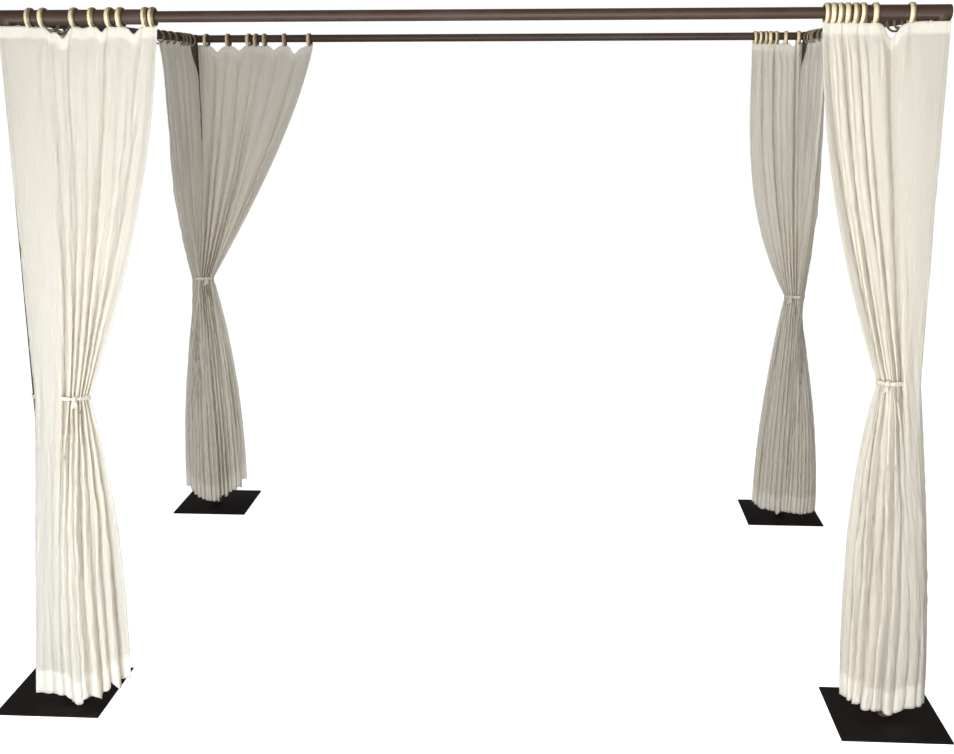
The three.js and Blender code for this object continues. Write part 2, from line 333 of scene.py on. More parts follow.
def newPiece(name, bm, material, nodes, smoothTo=40):
    return finishPiece(linked(name, meshFrom(name, bm)), material, nodes, smoothTo)


def finishPiece(piece, material, nodes, smoothTo=40):
    piece.data.materials.clear()
    piece.data.materials.append(material)
    piece.data.shade_smooth()
    piece.data.set_sharp_from_angle(angle=math.radians(smoothTo))
    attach(piece, "root")
    if nodes:
        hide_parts(*nodes)
    return piece


def middle(node):
    low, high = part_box(node)
    return (low + high) / 2


axisTurns = {
    "x": Matrix.Rotation(math.pi / 2, 4, "Y"),
    "y": Matrix.Rotation(-math.pi / 2, 4, "X"),
    "z": Matrix.Identity(4),
}


def turned(bm, profile, place, steps=48):
    # A profile of (radius, height) pairs is spun round Z and then placed
    before = set(bm.verts)
    line = [bm.verts.new((radius, 0, height)) for radius, height in profile]
    edges = [bm.edges.new(pair) for pair in zip(line, line[1:])]
    if profile[0][0] > 0:
        edges.append(bm.edges.new((line[-1], line[0])))
    bmesh.ops.spin(bm, geom=line + edges, axis=(0, 0, 1), cent=(0, 0, 0), angle=2 * math.pi,
                   steps=steps, use_merge=True)
    fresh = [vert for vert in bm.verts if vert not in before]
    bmesh.ops.remove_doubles(bm, verts=fresh, dist=1e-6)
    fresh = [vert for vert in bm.verts if vert not in before]
    bmesh.ops.recalc_face_normals(bm, faces=list({face for vert in fresh for face in vert.link_faces}))
    bmesh.ops.transform(bm, matrix=place, verts=fresh)
    return fresh


def tubeProfile(radius, bore, low, high, chamfer=0.0008):
    return [
        (bore, low), (radius - chamfer, low), (radius, low + chamfer),
        (radius, high - chamfer), (radius - chamfer, high), (bore, high),
    ]


def barProfile(radius, low, high, chamfer=0.0012):
    return [
        (0, low), (radius - chamfer, low), (radius - chamfer * 0.3, low + chamfer * 0.3),
        (radius, low + chamfer), (radius, high - chamfer), (radius - chamfer, high), (0, high),
    ]


corners = ["front_left", "front_right", "back_left", "back_right"]
cornerSides = {name: (-1 if "left" in name else 1, -1 if "front" in name else 1) for name in corners}


def pieceName(kind, corner, more=""):
    return kind + "".join(word.capitalize() for word in (corner + "_" + more).split("_"))


# Foot plates: flat steel squares, with the pin that the post slips over

plateSettings = {"edge": 0.0012, "postGap": 0.0003, "pinRadius": 0.0207, "pinTop": 0.156, "pinSink": 0.001}


def addPlate(corner, settings):
    low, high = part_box("plate_" + corner)
    centre = middle("plate_" + corner)
    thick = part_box("post_" + corner)[0].z - settings["postGap"]
    bm = bmesh.new()
    bmesh.ops.create_cube(bm, size=1)
    bmesh.ops.scale(bm, vec=(high.x - low.x, high.y - low.y, thick), verts=bm.verts)
    bmesh.ops.bevel(bm, geom=list(bm.edges), offset=settings["edge"], affect="EDGES", segments=2,
                    profile=0.5, material=-1)
    bmesh.ops.translate(bm, vec=(centre.x, centre.y, thick / 2), verts=bm.verts)
    pin = barProfile(settings["pinRadius"], thick - settings["pinSink"], settings["pinTop"])
    turned(bm, pin, Matrix.Translation((centre.x, centre.y, 0)), 32)
    newPiece(pieceName("plate", corner), bm, plateSteel, ["plate_" + corner])


# Posts and poles: plain round tube

tubeSettings = {"postBore": 0.0215, "poleBore": 0.0155}


def addTube(name, node, axis, bore):
    low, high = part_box(node)
    centre = middle(node)
    span = {"x": high.x - low.x, "y": high.y - low.y, "z": high.z - low.z}
    radius = (span["y"] if axis == "x" else span["x"]) / 2
    bm = bmesh.new()
    half = span[axis] / 2
    turned(bm, tubeProfile(radius, bore, -half, half), Matrix.Translation(centre) @ axisTurns[axis])
    newPiece(name, bm, frameSteel, [node])


# Corner fittings: a cap on the post, a stub with a spigot for each pole, and at the front the
# thick sleeve that the pole slides into

fittingSettings = {
    "capRadius": 0.024, "capDrop": 0.060, "pinRadius": 0.0207, "pinDrop": 0.150,
    "stub": 0.060, "stubRadius": 0.018, "spigot": 0.130, "spigotRadius": 0.0147,
    "bore": 0.0183, "boreDepth": 0.100, "capRise": 0.020, "overlap": 0.005,
}
poleHeight = middle("pole_back").z


def sleeveProfile(settings, length):
    radius, bore, chamfer = settings["capRadius"], settings["bore"], 0.001
    end = length - settings["boreDepth"]
    return [
        (0, -radius), (radius - 0.004, -radius), (radius - 0.0036, -radius + 0.0006),
        (radius - 0.003, -radius), (radius - chamfer, -radius), (radius, -radius + chamfer),
        (radius, length - chamfer * 2), (radius - chamfer * 2, length), (bore + 0.0006, length),
        (bore, length - 0.0006), (bore, end), (0, end),
    ]


def facing(axis, sign):
    if axis == "x":
        return Matrix.Rotation(math.pi / 2 * sign, 4, "Y")
    return Matrix.Rotation(-math.pi / 2 * sign, 4, "X")


def weld(parts):
    # Joins overlapping closed shells into one skin
    base = parts[0]
    for other in parts[1:]:
        joint = base.modifiers.new("weld", "BOOLEAN")
        joint.operation = "UNION"
        joint.solver = "EXACT"
        joint.object = other
    bpy.context.view_layer.update()
    seen = base.evaluated_get(bpy.context.evaluated_depsgraph_get())
    joined = bpy.data.meshes.new_from_object(seen)
    base.modifiers.clear()
    base.data = joined
    for other in parts[1:]:
        bpy.data.objects.remove(other)
    return base


def shell(name, profile, place, steps=48):
    bm = bmesh.new()
    turned(bm, profile, place, steps)
    return linked(name, meshFrom(name, bm))


def addFitting(corner, settings):
    sx, sy = cornerSides[corner]
    name = pieceName("fitting", corner)
    axis = middle("post_" + corner)
    at = Matrix.Translation((axis.x, axis.y, poleHeight))
    top = settings["capRise"] if sy > 0 else 0
    low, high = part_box("corner_" + corner)
    reach = high.x - axis.x if sx < 0 else axis.x - low.x
    overlap = settings["overlap"]
    cap = barProfile(settings["capRadius"], -settings["capDrop"], top)
    pin = barProfile(settings["pinRadius"], -settings["pinDrop"], -settings["capDrop"] + overlap)
    parts = [shell(name, cap, at), shell("pin", pin, at)]
    stub = barProfile(settings["stubRadius"], 0, settings["stub"], 0.0006)
    spigot = barProfile(settings["spigotRadius"], settings["stub"] - overlap, settings["spigot"], 0.001)
    arms = [("y", -sy)]
    if sy > 0:
        arms.append(("x", -sx))
    else:
        parts.append(shell("sleeve", sleeveProfile(settings, reach), at @ facing("x", -sx)))
    for arm, sign in arms:
        parts.append(shell("stub", stub, at @ facing(arm, sign)))
        parts.append(shell("spigot", spigot, at @ facing(arm, sign)))
    finishPiece(weld(parts), frameSteel, ["corner_" + corner])


for corner in corners:
    addPlate(corner, plateSettings)
    addTube(pieceName("post", corner), "post_" + corner, "z", tubeSettings["postBore"])
    addFitting(corner, fittingSettings)
for side, axis in (("front", "x"), ("back", "x"), ("left", "y"), ("right", "y")):
    addTube("pole" + side.capitalize(), "pole_" + side, axis, tubeSettings["poleBore"])
print("frame pieces made")


# Curtains. Each hangs from its rings as one sheet, is gathered by the tie and widens to its hem.
# "u" runs along the pole from the post and "v" out of the frame. Each station is a line of points
# (u, v, inner u, inner v): the face of the folds, and how far in they may reach at that place.

sideCurtain = {
    "rings": (0.062, 0.128, 0.194, 0.243, 0.354, 0.453, 0.549),
    "folds": ((0.046, 0.3), (0.095, 0.9), (0.161, 0.2), (0.218, 1.0), (0.275, 0.3), (0.325, 0.9),
              (0.403, 0.25), (0.455, 0.6), (0.505, 0.9)),
    "free": 0, "gather": (0.03, 0.97), "width": 0.61, "dips": 0.15,
}
frontSide = {
    **sideCurtain,
    "bulge": (1.0, 1.7), "flare": (1.5, 2.2),
    "top": ((0.030, 0.030, 0.030, -0.026), (0.300, 0.030, 0.300, -0.026), (0.580, 0.030, 0.580, -0.026)),
    "waist": ((0.030, 0.026, 0.030, -0.026), (0.060, 0.031, 0.055, -0.030), (0.092, 0.026, 0.075, -0.028),
              (0.106, 0.000, 0.088, -0.012)),
}
curtains = {
    "front_left_front": {
        "rings": (0.081, 0.126, 0.230, 0.290, 0.348, 0.384, 0.467, 0.490),
        "folds": ((0.035, 0.15), (0.104, 0.35), (0.150, 0.7), (0.190, 1.0), (0.260, 0.4), (0.319, 0.95),
                  (0.366, 0.4), (0.427, 0.9), (0.479, 0.5)),
        "free": 2, "gather": (0.55, 0.97), "width": 0.57, "raise": -0.008, "belly": 0.010, "seed": 4,
        "bulge": (1.0, 1.6), "flare": (1.0, 3.0),
        "top": ((-0.013, 0.036, -0.013, -0.026), (0.240, 0.031, 0.240, -0.026),
                (0.506, 0.031, 0.506, -0.026)),
        "waist": ((-0.004, 0.036, -0.004, 0.030), (0.050, 0.056, 0.050, 0.034),
                  (0.100, 0.070, 0.095, 0.020), (0.150, 0.064, 0.120, 0.000),
                  (0.180, 0.045, 0.135, -0.005), (0.184, 0.010, 0.140, -0.010)),
        "hem": ((-0.084, 0.078, -0.078, 0.050), (-0.004, 0.088, -0.008, 0.052),
                (0.068, 0.118, 0.060, 0.066), (0.125, 0.158, 0.108, 0.090), (0.165, 0.138, 0.130, 0.080),
                (0.205, 0.094, 0.150, 0.045), (0.250, 0.066, 0.178, 0.024), (0.263, 0.040, 0.193, 0.004)),
    },
    "front_right_front": {
        "rings": (0.096, 0.207, 0.247, 0.269, 0.293, 0.3165, 0.3365, 0.3565),
        "folds": ((0.050, 0.12), (0.098, 0.2), (0.154, 1.15), (0.227, 0.4), (0.258, 0.8), (0.281, 0.25),
                  (0.305, 0.9), (0.3265, 0.3), (0.3465, 0.6)),
        "free": 2, "gather": (0.42, 0.97), "width": 0.52, "raise": 0.006, "even": 0.55, "seed": 9,
        "belly": 0.020, "lean": 0.5,
        "bulge": (1.0, 1.75), "flare": (1.5, 4.0),
        "top": ((-0.016, 0.038, -0.016, -0.026), (0.170, 0.032, 0.170, -0.026),
                (0.370, 0.032, 0.370, -0.026)),
        "waist": ((-0.018, 0.038, -0.017, 0.030), (0.030, 0.056, 0.025, 0.034),
                  (0.075, 0.066, 0.050, 0.020), (0.110, 0.050, 0.068, 0.000),
                  (0.118, 0.010, 0.075, -0.010)),
        "hem": ((-0.148, -0.030, -0.118, -0.030), (-0.125, 0.030, -0.095, 0.005),
                (-0.060, 0.042, -0.050, 0.022), (0.035, 0.056, 0.025, 0.028),
                (0.088, 0.084, 0.060, 0.030), (0.120, 0.042, 0.082, 0.000),
                (0.148, -0.046, 0.105, -0.050)),
    },
    "front_left_side": {
        **frontSide, "seed": 21,
        "hem": ((0.032, 0.034, 0.034, -0.020), (0.080, 0.030, 0.062, -0.060),
                (0.130, -0.020, 0.085, -0.090), (0.162, -0.100, 0.100, -0.130),
                (0.165, -0.150, 0.105, -0.155)),
    },
    "front_right_side": {
        **frontSide, "seed": 22,
        "hem": ((0.050, 0.080, 0.052, 0.030), (0.105, 0.084, 0.088, 0.028),
                (0.155, 0.040, 0.115, -0.010), (0.176, -0.040, 0.125, -0.060),
                (0.176, -0.110, 0.125, -0.110)),
    },
    "back_left_back": {
        "rings": (0.070, 0.179, 0.283, 0.318, 0.361, 0.460, 0.584),
        "folds": ((0.040, 0.6), (0.125, 0.9), (0.162, 0.3), (0.235, 0.8), (0.300, 0.5), (0.345, 0.6),
                  (0.411, 0.8), (0.515, 1.0), (0.560, 0.4)),
        "free": 0, "gather": (0.03, 0.97), "width": 0.64, "raise": 0.018, "even": 0.35, "seed": 33,
        "bulge": (1.5, 1.3), "flare": (1.5, 2.5),
        "top": ((0.016, 0.018, 0.020, 0.030), (0.040, -0.012, 0.046, 0.026), (0.064, -0.036, 0.064, 0.026),
                (0.300, -0.030, 0.300, 0.026), (0.604, -0.030, 0.604, 0.026)),
        "waist": ((-0.020, -0.078, -0.018, -0.045), (0.012, -0.093, 0.008, -0.040),
                  (0.038, -0.088, 0.024, -0.038), (0.050, -0.060, 0.032, -0.038),
                  (0.048, -0.034, 0.036, -0.032)),
        "hem": ((-0.030, -0.060, -0.028, -0.030), (0.020, -0.070, 0.015, -0.030),
                (0.070, -0.076, 0.055, -0.028), (0.115, -0.074, 0.085, -0.028),
                (0.148, -0.044, 0.108, -0.008), (0.168, -0.010, 0.125, 0.018)),
    },
    "back_left_side": {
        **sideCurtain, "raise": 0.018, "even": 0.5, "swing": -0.036, "seed": 34,
        "bulge": (1.0, 2.3), "flare": (2.2, 2.0),
        "top": ((0.030, 0.006, 0.030, 0.034), (0.090, -0.012, 0.090, 0.030), (0.150, -0.026, 0.150, 0.026),
                (0.300, -0.030, 0.300, 0.026), (0.580, -0.030, 0.580, 0.026)),
        "waist": ((0.028, 0.018, 0.020, 0.050), (0.050, 0.004, 0.040, 0.050), (0.084, 0.000, 0.062, 0.050),
                  (0.098, 0.022, 0.080, 0.046)),
        "hem": ((0.096, -0.034, 0.074, -0.012), (0.108, 0.020, 0.074, 0.020), (0.104, 0.072, 0.062, 0.055),
                (0.075, 0.125, 0.040, 0.090), (0.040, 0.158, 0.020, 0.120)),
    },
    "back_right_back": {
        "rings": (0.045, 0.104, 0.151, 0.176, 0.200, 0.224, 0.248),
        "folds": ((0.050, 0.25), (0.072, 1.0), (0.104, 0.15), (0.128, 0.3), (0.164, 1.1), (0.188, 0.2),
                  (0.212, 0.6), (0.236, 0.2)),
        "free": 0, "gather": (0.03, 0.97), "width": 0.39, "raise": 0.002, "even": 0.2, "seed": 45,
        "bulge": (1.0, 3.2), "flare": (1.5, 2.0),
        "top": ((0.016, 0.018, 0.020, 0.030), (0.034, -0.012, 0.038, 0.026), (0.052, -0.036, 0.052, 0.026),
                (0.080, -0.034, 0.080, 0.026), (0.160, -0.031, 0.160, 0.026),
                (0.266, -0.031, 0.266, 0.026)),
        "waist": ((-0.018, -0.078, -0.016, -0.045), (0.010, -0.093, 0.006, -0.040),
                  (0.034, -0.088, 0.022, -0.038), (0.046, -0.060, 0.030, -0.038),
                  (0.044, -0.034, 0.034, -0.032)),
        "hem": ((-0.034, -0.078, -0.032, -0.040), (0.020, -0.092, 0.015, -0.044),
                (0.070, -0.092, 0.050, -0.040), (0.110, -0.078, 0.075, -0.030),
                (0.136, -0.044, 0.095, -0.010), (0.148, -0.010, 0.110, 0.016)),
    },
    "back_right_side": {
        **sideCurtain, "width": 0.60, "raise": 0.008, "even": 0.9, "swing": -0.026, "seed": 46,
        "bulge": (1.0, 2.3), "flare": (1.8, 1.8),
        "top": ((0.030, -0.012, 0.030, 0.030), (0.100, -0.022, 0.100, 0.026), (0.300, -0.030, 0.300, 0.026),
                (0.560, -0.030, 0.560, 0.026)),
        "waist": ((0.028, 0.018, 0.020, 0.042), (0.050, 0.004, 0.040, 0.042), (0.084, 0.000, 0.062, 0.042),
                  (0.098, 0.018, 0.080, 0.040)),
        "hem": ((0.030, 0.176, 0.020, 0.138), (0.078, 0.156, 0.048, 0.110), (0.112, 0.108, 0.070, 0.072),
                (0.112, 0.045, 0.072, 0.030), (0.078, -0.006, 0.062, 0.006)),
    },
}
sheetSettings = {
    "columns": 190, "levels": 66, "rows": 45, "headRows": 7, "hemRows": 9, "pastBand": 0.006,
    "pathSteps": 80, "thick": 0.0020, "layers": 0.55,
    "headNarrow": 0.5, "headFade": 0.12, "ringPull": 0.013, "sag": 0.07, "dip": 0.28, "dipWidth": 0.17,
    "postSide": (0.030, 0.070), "ringHold": 0.011, "ringFade": 0.03,
    "swingReach": 0.05, "swingHead": (0.02, 0.17), "swingTie": (0.0, 0.45),
    "ripple": 0.0011, "waistRipple": 0.0012, "waistReach": 0.16, "rippleHead": (0.0, 0.15),
    # Each ripple: its share, and its pace across and down, twice
    "ripples": ((1.0, 61, 5, 9, 4.1), (0.6, 97, -7, 0, 6.3), (0.4, 27, 17, -14, 13)),
}
foldSettings = {
    "bunchShift": 0.3, "hemShift": 0.25, "waistLoss": 0.75, "freeWaist": 0.7, "freeHem": (0.25, 0.5),
    "hem": (0.35, 1.0), "middle": (0.55, 1.25), "shoulders": (0.12, 0.30), "crests": (0.0, 0.22),
    "pitch": (2.5, 6.5), "lean": (0.35, 0.75), "leanBack": 0.3, "freeLean": 0.3, "hemLean": 0.45,
    "sway": 0.13, "quickSway": 0.05, "quickPitch": 11, "crestSway": 0.10, "inward": 1.45, "limit": 1.5,
    "scales": (0.12, 1.3), "tries": 9,
}


def smoothstep(value, low, high):
    share = np.clip((value - low) / (high - low), 0, 1)
    return share * share * (3 - 2 * share)


def spline(points, perSpan=9):
    # Clamped uniform cubic B-spline
    padded = np.vstack([points[:1], points[:1], points, points[-1:], points[-1:]])
    t = np.linspace(0, 1, perSpan, endpoint=False)[:, None, None]
    a, b, c, d = (padded[i:len(padded) - 3 + i][None] for i in range(4))
    line = a * (1 - t) ** 3 + b * (3 * t ** 3 - 6 * t ** 2 + 4)
    line = (line + c * (3 * t + 3 * t ** 2 - 3 * t ** 3 + 1) + d * t ** 3) / 6
    line = line.transpose(1, 0, 2).reshape(-1, points.shape[1])
    return np.vstack([line, points[-1:]])


def crowded(count):
    # Steps from 0 to 1 that lie closer at both ends
    rise = np.linspace(0, 1, count)
    return rise - 0.5 * np.sin(2 * math.pi * rise) / (2 * math.pi)


def evenly(line, count):
    # Points at even distances along the first two coordinates
    steps = np.linalg.norm(np.diff(line[:, :2], axis=0), axis=1)
    run = np.concatenate([[0], np.cumsum(steps)])
    even = np.linspace(0, run[-1], count)
    return np.stack([np.interp(even, run, line[:, i]) for i in range(line.shape[1])], axis=1), run[-1]


def foldPlan(curtain, settings):
    rng = np.random.default_rng(curtain["seed"])
    uneven = np.random.default_rng(curtain["seed"] + 50)
    play = foldSettings
    count = len(curtain["folds"])
    free = curtain["free"]
    places = np.array([place for place, strength in curtain["folds"]])
    strengths = np.array([strength for place, strength in curtain["folds"]])
    first, last = curtain["top"][0][0], curtain["top"][-1][0]
    low, high = curtain["gather"]
    gathered = count - free
    shift = play["bunchShift"]
    bunched = np.arange(gathered) + 0.5 + uneven.uniform(-shift, shift, gathered)
    waist = np.concatenate([
        low * (np.arange(free) + 1) / (free + 1),
        low + (high - low) * bunched / gathered,
    ])
    shift = play["hemShift"]
    hem = (np.arange(count) + 0.5 + rng.uniform(-shift, shift, count)) / count
    isFree = np.arange(count) < free
    stations = {}
    for name in ("top", "waist", "hem"):
        stations[name] = evenly(spline(np.array(curtain[name]), 12), settings["pathSteps"])[0]
    return {
        "stations": stations,
        "places": {"top": (places - first) / (last - first), "waist": waist, "hem": hem},
        "strengths": {
            "top": strengths,
            "waist": np.where(isFree, strengths * play["freeWaist"],
                              1 - play["waistLoss"] * rng.uniform(0.0, 1.0, count)),
            "hem": np.where(isFree, rng.uniform(*play["freeHem"], count), rng.uniform(*play["hem"], count)),
        },
        "middle": rng.uniform(*play["middle"], (2, count)),
        "shoulders": rng.uniform(*play["shoulders"], (2, count + 1)),
        "crests": rng.uniform(*play["crests"], (3, count + 1)),
        "waves": rng.uniform(0, 2 * math.pi, (4, count + 1)),
        "pitch": rng.uniform(*play["pitch"], (4, count + 1)),
        "lean": curtain.get("lean", 1.0) * rng.uniform(*play["lean"], count)
        * np.where(rng.random(count) < play["leanBack"], -1, 1) * np.where(isFree, play["freeLean"], 1),
    }


def easing(curtain, above, away, steps):
    early, late = curtain["bulge" if above else "flare"]
    power = early + (late - early) * steps
    return 1 - (1 - away) ** power


def sectionLine(curtain, plan, z, tie, top, bottom, scale):
    # Plan section of the sheet at a height, as a line of (u, v)
    above = z > tie
    away = min(1.0, abs(z - tie) / (top - tie if above else tie - bottom))
    end = "top" if above else "hem"
    steps = np.linspace(0, 1, len(plan["stations"]["waist"]))
    share = easing(curtain, above, away, steps)[:, None]
    path = plan["stations"]["waist"] * (1 - share) + plan["stations"][end] * share
    if not above:
        path[:, [0, 2]] += (curtain.get("belly", 0.0) * math.sin(math.pi * away) * steps ** 4)[:, None]
    share = easing(curtain, above, away, plan["places"]["waist"])
    places = plan["places"]["waist"] * (1 - share) + plan["places"][end] * share
    strength = plan["strengths"]["waist"] * (1 - share) + plan["strengths"][end] * share
    halfway = 4 * share * (1 - share)
    strength = strength * (1 + (plan["middle"][0 if above else 1] - 1) * halfway)
    loose = math.sin(math.pi * away) ** 0.7
    waves = [np.sin(plan["pitch"][i] * z + plan["waves"][i]) for i in range(4)]
    gaps = np.diff(np.concatenate([[0], places, [1]]))
    play = foldSettings
    quick = waves[1] * play["quickSway"] * np.sin(play["quickPitch"] * z)
    sway = waves[0] * play["sway"] + quick
    places = places + sway[:-1] * loose * np.minimum(gaps[:-1], gaps[1:])
    bounds = np.concatenate([[0], places, [1]])
    gaps = np.diff(bounds)
    crests = plan["crests"][1] * (1 - away) + plan["crests"][0 if above else 2] * away
    crests = crests + waves[2] * play["crestSway"] * loose
    shoulders = plan["shoulders"][0 if above else 1]
    lean = plan["lean"] * (1 - share * (1.0 if above else play["hemLean"]))
    lean = lean * np.where(lean > 0, gaps[1:], gaps[:-1])

    def at(place, inward):
        row = np.array([np.interp(place, steps, path[:, i]) for i in range(4)])
        return row[:2] + (row[2:] - row[:2]) * inward

    count = len(places)
    points = [at(0, 0)]
    for j in range(count + 1):
        low = max(0.0, crests[j]) * scale
        if j > 0:
            points.append(at(bounds[j] + shoulders[j] * gaps[j], low))
        if j < count:
            points.append(at(bounds[j + 1] - shoulders[j] * gaps[j], low))
            inward = min(play["limit"], play["inward"] * strength[j] * scale)
            points.append(at(bounds[j + 1] + lean[j], inward))
    points.append(at(1, 0))
    return spline(np.array(points))


def fittedSection(curtain, plan, z, tie, top, bottom, columns):
    # The folds are as deep as the sheet's width asks for
    low, high = foldSettings["scales"]
    for attempt in range(foldSettings["tries"]):
        scale = (low + high) / 2
        line = sectionLine(curtain, plan, z, tie, top, bottom, scale)
        length = np.linalg.norm(np.diff(line, axis=0), axis=1).sum()
        low, high = (low, scale) if length > curtain["width"] else (scale, high)
    return evenly(line, columns)


def toWorld(corner, run, u, v):
    sx, sy = cornerSides[corner]
    axis = middle("post_" + corner)
    if run == "across":
        return axis.x - sx * u, axis.y + sy * v
    return axis.x + sx * v, axis.y - sy * u


def splitName(name):
    return name.rsplit("_", 1)[0], "along" if name.endswith("side") else "across"


tieLift = {"front_left": 0.012, "front_right": 0.002, "back_left": 0.012, "back_right": 0.002}
headDrop = {"side": 0.0440, "front": 0.0590, "back": 0.0545}  # From the rings' tops to the cloth's edge


def heightsOf(name):
    # Top edge, tie and hem
    corner = splitName(name)[0]
    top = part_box("rings_" + name)[1].z - headDrop[name.split("_")[-1]]
    tie = middle("tie_" + corner).z + tieLift[corner]
    return top, tie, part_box("curtain_" + name)[0].z + curtains[name].get("raise", 0)


def headSag(curtain, settings, u):
    # The heading hangs lower between rings, most where a fold turns back
    sag = np.zeros_like(u)
    rings = curtain["rings"]
    for first, second in zip(rings, rings[1:]):
        gap = second - first
        x = np.clip((u - first) / gap, 0, 1)
        arch = 4 * x * (1 - x)
        sag = sag + settings["sag"] * curtain.get("dips", 1.0) * gap * arch
        for place, strength in curtain["folds"]:
            if first < place < second:
                notch = np.exp(-((u - place) / (settings["dipWidth"] * gap)) ** 2)
                deep = settings["dip"] * curtain.get("dips", 1.0) * strength ** 2 * gap
                sag = sag + deep * notch * np.minimum(1, arch * 1.5)
    return sag


def curtainSheet(name, curtain, settings):
    corner, run = splitName(name)
    top, tie, bottom = heightsOf(name)
    plan = foldPlan(curtain, settings)
    rise = crowded(settings["levels"])
    levels = np.concatenate([top + (tie - top) * rise[:-1], tie + (bottom - tie) * rise])
    columns = settings["columns"] + 1
    sections = [fittedSection(curtain, plan, z, tie, top, bottom, columns) for z in levels]
    lengths = [length for line, length in sections]
    table = np.array([line for line, length in sections])
    u, v = table[:, :, 0], table[:, :, 1]
    z = np.repeat(levels[:, None], columns, axis=1)
    head = smoothstep(z, top - settings["headFade"], top)
    past = smoothstep(u, *settings["postSide"]) if run == "across" else 1.0
    v = v * (1 - settings["headNarrow"] * head * past)
    column = np.linspace(0, 1, columns)[None, :]
    # The edge by the post swings across it below the heading
    swing = curtain.get("swing", 0.0) * np.exp(-(column * curtain["width"] / settings["swingReach"]) ** 2)
    v = v + swing * smoothstep(top - z, *settings["swingHead"]) * smoothstep(z - tie, *settings["swingTie"])
    outside = np.sign(curtain["top"][-1][1])
    for ring in curtain["rings"]:
        near = np.exp(-((u - ring) / settings["ringPull"]) ** 2) * np.exp(-(top - z) / settings["ringFade"])
        v = v + (outside * settings["ringHold"] - v) * near
    rng = np.random.default_rng(curtain["seed"] + 100)
    ripple = 0.0
    for share, across, down, slowAcross, slowDown in settings["ripples"]:
        first, second = rng.uniform(0, 2 * math.pi, 2)
        wave = share * np.sin(column * across + z * down + first)
        ripple = ripple + wave * np.sin(z * slowDown + column * slowAcross + second)
    nearTie = np.exp(-((z - tie) / settings["waistReach"]) ** 2)
    size = settings["ripple"] + settings["waistRipple"] * nearTie
    v = v + ripple * size * smoothstep(top - z, *settings["rippleHead"])
    x, y = toWorld(corner, run, u, v)
    table = np.stack([x, y, z], axis=2)
    # Rows lie at even distances down the cloth, so a slanting edge lifts its end of the hem.
    # Some of that lift is given back, as far as the cloth stretches and slips through the tie
    fall = np.linalg.norm(np.diff(table, axis=0), axis=2)
    fall = np.vstack([np.zeros((1, columns)), np.cumsum(fall, axis=0)])
    start = headSag(curtain, settings, u[0])
    length = float((fall[-1] - start).min())
    stretch = 1 + curtain.get("even", 0.0) * ((fall[-1] - start) / length - 1)
    rows = rowPlaces(length, top - tie, settings)
    points = np.empty((len(rows), columns, 3))
    for i in range(columns):
        for axis in range(3):
            points[:, i, axis] = np.interp(rows * stretch[i] + start[i], fall[:, i], table[:, i, axis])
    return points, rows, stretch, (float(np.median(lengths)), length)


def rowPlaces(length, tie, settings):
    head = clothSettings["headBand"] + settings["pastBand"]
    hem = length - clothSettings["hemBand"] - settings["pastBand"]
    rise = crowded(settings["rows"])
    return np.concatenate([
        np.linspace(0, head, settings["headRows"])[:-1],
        head + (tie - head) * rise[:-1],
        tie + (hem - tie) * rise,
        np.linspace(hem, length, settings["hemRows"])[1:],
    ])


def gridMesh(name, points, shares):
    # A sheet of cloth from a table of points, rows first, with UVs as shares of its flat size
    rows, columns = points.shape[0] - 1, points.shape[1] - 1
    bm = bmesh.new()
    bm.loops.layers.uv.new("cloth")
    bmesh.ops.create_grid(bm, x_segments=columns, y_segments=rows, size=0.5, calc_uvs=True)
    cells = np.array([(round((0.5 - v.co.y) * rows), round((v.co.x + 0.5) * columns)) for v in bm.verts])
    for vert, (row, column) in zip(bm.verts, cells):
        vert.co = points[row][column]
    mesh = meshFrom(name, bm)
    used = np.empty(len(mesh.loops), dtype=int)
    mesh.loops.foreach_get("vertex_index", used)
    square = np.stack([cells[used, 1] / columns, 1 - shares[cells[used, 0]]], axis=1)
    mesh.uv_layers[0].data.foreach_set("uv", square.ravel())
    return mesh, cells


def hangCurtain(name, curtain, settings):
    points, rows, stretch, size = curtainSheet(name, curtain, settings)
    mesh, cells = gridMesh(name, points, rows / size[1])
    piece = linked(pieceName("curtain", name), mesh)
    flat = np.zeros((len(cells), 3))
    flat[:, 0] = cells[:, 1] / settings["columns"] * size[0]
    flat[:, 2] = -rows[cells[:, 0]] * stretch[cells[:, 1]]
    return {"piece": piece, "cells": cells, "points": points, "flat": flat, "rows": rows, "size": size}


# A short cloth simulation lets the drawn folds settle. The sheets are held at rings and ties, and
# lightly along their side hems

settleSettings = {
    "frames": 16, "ringReach": 0.006, "tieReach": 0.012, "edgeHold": 0.25,
    "feel": {
        "quality": 4, "mass": 0.00006, "bending_stiffness": 0.05,
        "tension_stiffness": 15, "compression_stiffness": 15, "shear_stiffness": 4.5,
        "tension_damping": 5, "compression_damping": 5, "shear_damping": 5, "air_damping": 3,
    },
}


def alongPole(name, points):
    corner, run = splitName(name)
    axis = middle("post_" + corner)
    sx, sy = cornerSides[corner]
    return (axis.x - points[..., 0]) / sx if run == "across" else (axis.y - points[..., 1]) / sy


def gatherStart(curtain, plan):
    path = plan["stations"]["waist"]
    return path[int(curtain["gather"][0] * (len(path) - 1)), 0] if curtain["free"] else -1.0


def heldShare(name, curtain, sheet, settings):
    row, column = sheet["cells"].T
    points = sheet["points"]
    u = alongPole(name, points)[row, column]
    heading = alongPole(name, points[0])[column]
    toRing = np.abs(heading[:, None] - np.array(curtain["rings"])).min(axis=1)
    ends = (column < 3) | (column > column.max() - 3)
    sewn = (row < 4) & ((toRing < settings["ringReach"]) | ends)
    gripped = np.abs(points[row, column, 2] - heightsOf(name)[1]) < settings["tieReach"]
    gripped = gripped & (u > gatherStart(curtain, foldPlan(curtain, sheetSettings)))
    share = np.where((column < 2) | (column > column.max() - 2), settings["edgeHold"], 0.0)
    return np.where(sewn | gripped, 1.0, share)


